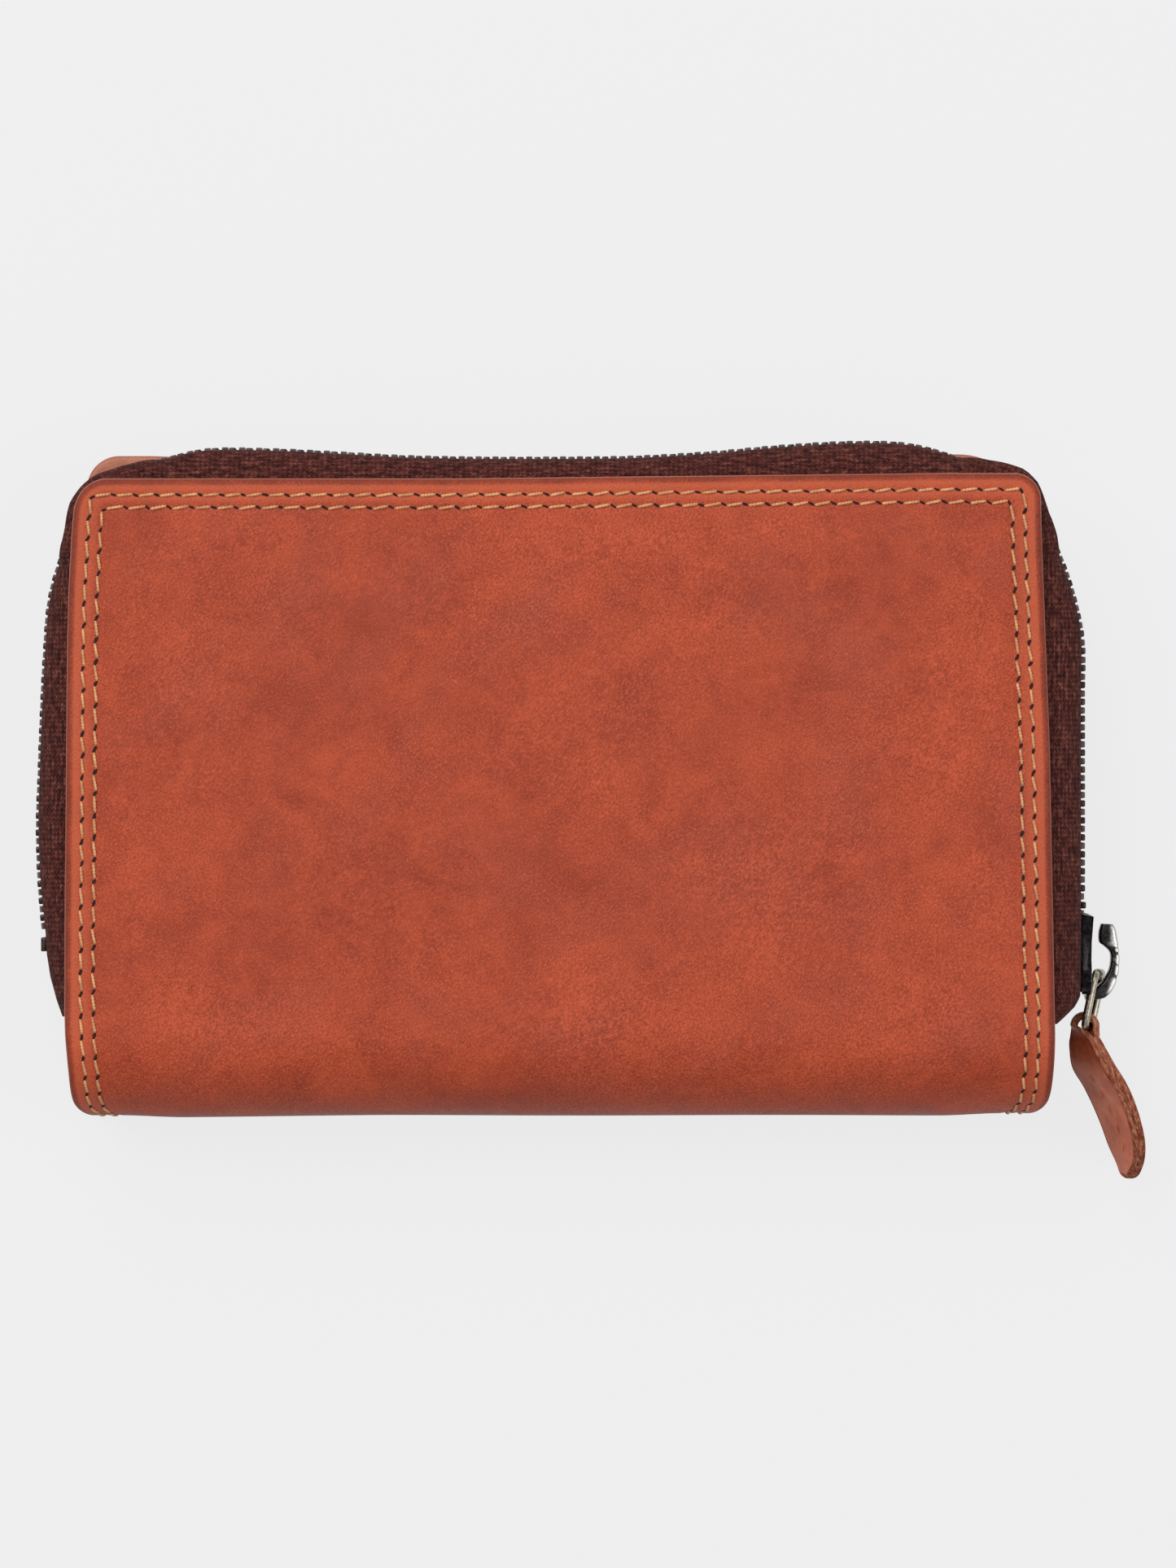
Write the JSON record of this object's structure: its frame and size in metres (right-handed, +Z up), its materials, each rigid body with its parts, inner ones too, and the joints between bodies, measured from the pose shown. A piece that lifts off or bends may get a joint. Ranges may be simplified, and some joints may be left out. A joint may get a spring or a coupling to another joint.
{
  "type": "zip-around leather wallet",
  "caption": "Zip-around leather wallet with a rounded spine, card slots, a central zipped coin pocket, a metal zip and a leather pull tab.",
  "frame": {"origin": "on the outer face of the front cover, which the wallet lies on, at mid-width and 36 mm above the fold line of the spine", "axes": "+X across the covers towards the closed end of the zip, +Y from the spine to the top edge, +Z up through the thickness, out of the back cover"},
  "size_m": [0.1612, 0.1071, 0.024],
  "materials": {
    "cover_leather": "semi-matt waxed cognac leather with fine grain",
    "lining_leather": "matt tan lining leather",
    "zip_tape": "dark brown woven tape",
    "dark_metal": "blackened brass, worn bright on the edges",
    "old_brass": "antique pale brass wire",
    "light_brass": "antique brass",
    "stitch_thread": "twisted golden tan thread"
  },
  "bodies": {
    "front_half": {"front_panel": "cover_leather", "front_lining": "lining_leather", "front_card_slot_1": "lining_leather", "front_card_slot_2": "lining_leather", "front_card_slot_3": "lining_leather", "front_card_slot_4": "lining_leather", "front_zip_tape": "zip_tape", "front_zip_teeth_left": "dark_metal", "front_zip_teeth_top": "dark_metal", "front_zip_teeth_right": "dark_metal"},
    "spine": {"spine_leather": "cover_leather", "spine_lining": "lining_leather", "coin_pocket_front": "lining_leather", "coin_pocket_back": "lining_leather", "coin_pocket_gusset": "lining_leather", "coin_zip_tape_front": "zip_tape", "coin_zip_tape_back": "zip_tape", "coin_zip_teeth": "light_brass", "coin_zip_stops": "light_brass", "side_gusset_left_front": "lining_leather", "side_gusset_left_back": "lining_leather", "side_gusset_right_front": "lining_leather", "side_gusset_right_back": "lining_leather", "zip_tail_left_front": "zip_tape", "zip_tail_left_back": "zip_tape", "zip_tail_right_front": "zip_tape", "zip_tail_right_back": "zip_tape", "zip_end_teeth": "dark_metal", "zip_bottom_stop": "dark_metal", "zip_top_stops": "dark_metal"},
    "back_half": {"back_panel": "cover_leather", "back_lining": "lining_leather", "back_card_slot_1": "lining_leather", "back_card_slot_2": "lining_leather", "back_card_slot_3": "lining_leather", "back_card_slot_4": "lining_leather", "back_zip_tape": "zip_tape", "back_zip_teeth_left": "dark_metal", "back_zip_teeth_top": "dark_metal", "back_zip_teeth_right": "dark_metal"},
    "zip_slider": {"slider_body": "dark_metal", "slider_crown": "dark_metal"},
    "pull_link": {"pull_link": "old_brass"},
    "pull_tab": {"pull_tab": "cover_leather"},
    "coin_slider": {"coin_slider": "light_brass"},
    "coin_pull": {"coin_pull": "light_brass"}
  },
  "joints": [
    {"name": "spine_front_fold", "type": "hinge", "parent": "front_half", "child": "spine", "pos_m": [0, -0.036, 0], "axis": [1, 0, 0], "range_deg": [0, 30]},
    {"name": "spine_back_fold", "type": "hinge", "parent": "spine", "child": "back_half", "pos_m": [0, -0.036, 0.024], "axis": [1, 0, 0], "range_deg": [0, 30]},
    {"name": "slider_travel", "type": "slide", "parent": "spine", "child": "zip_slider", "axis": [0, 1, 0], "range_m": [0, 0.036], "deforming": ["front_zip_teeth_right", "back_zip_teeth_right", "zip_end_teeth"]},
    {"name": "link_flip", "type": "hinge", "parent": "zip_slider", "child": "pull_link", "pos_m": [0.07815, -0.0277, 0.012], "axis": [0, 0, 1], "range_deg": [0, 130]},
    {"name": "tab_swing", "type": "hinge", "parent": "pull_link", "child": "pull_tab", "pos_m": [0.07651, -0.03543, 0.012], "axis": [0, 0, 1], "range_deg": [-12, 30]},
    {"name": "coin_slider_travel", "type": "slide", "parent": "spine", "child": "coin_slider", "axis": [-1, 0, 0], "range_m": [0, 0.09], "deforming": ["coin_zip_teeth"]},
    {"name": "coin_pull_swing", "type": "hinge", "parent": "coin_slider", "child": "coin_pull", "pos_m": [0.046, 0.03005, 0.012], "axis": [0, 0, -1], "range_deg": [0, 150]}
  ],
  "couplings": [
    {"joint": "spine_back_fold", "follows": "spine_front_fold", "ratio": 1}
  ]
}
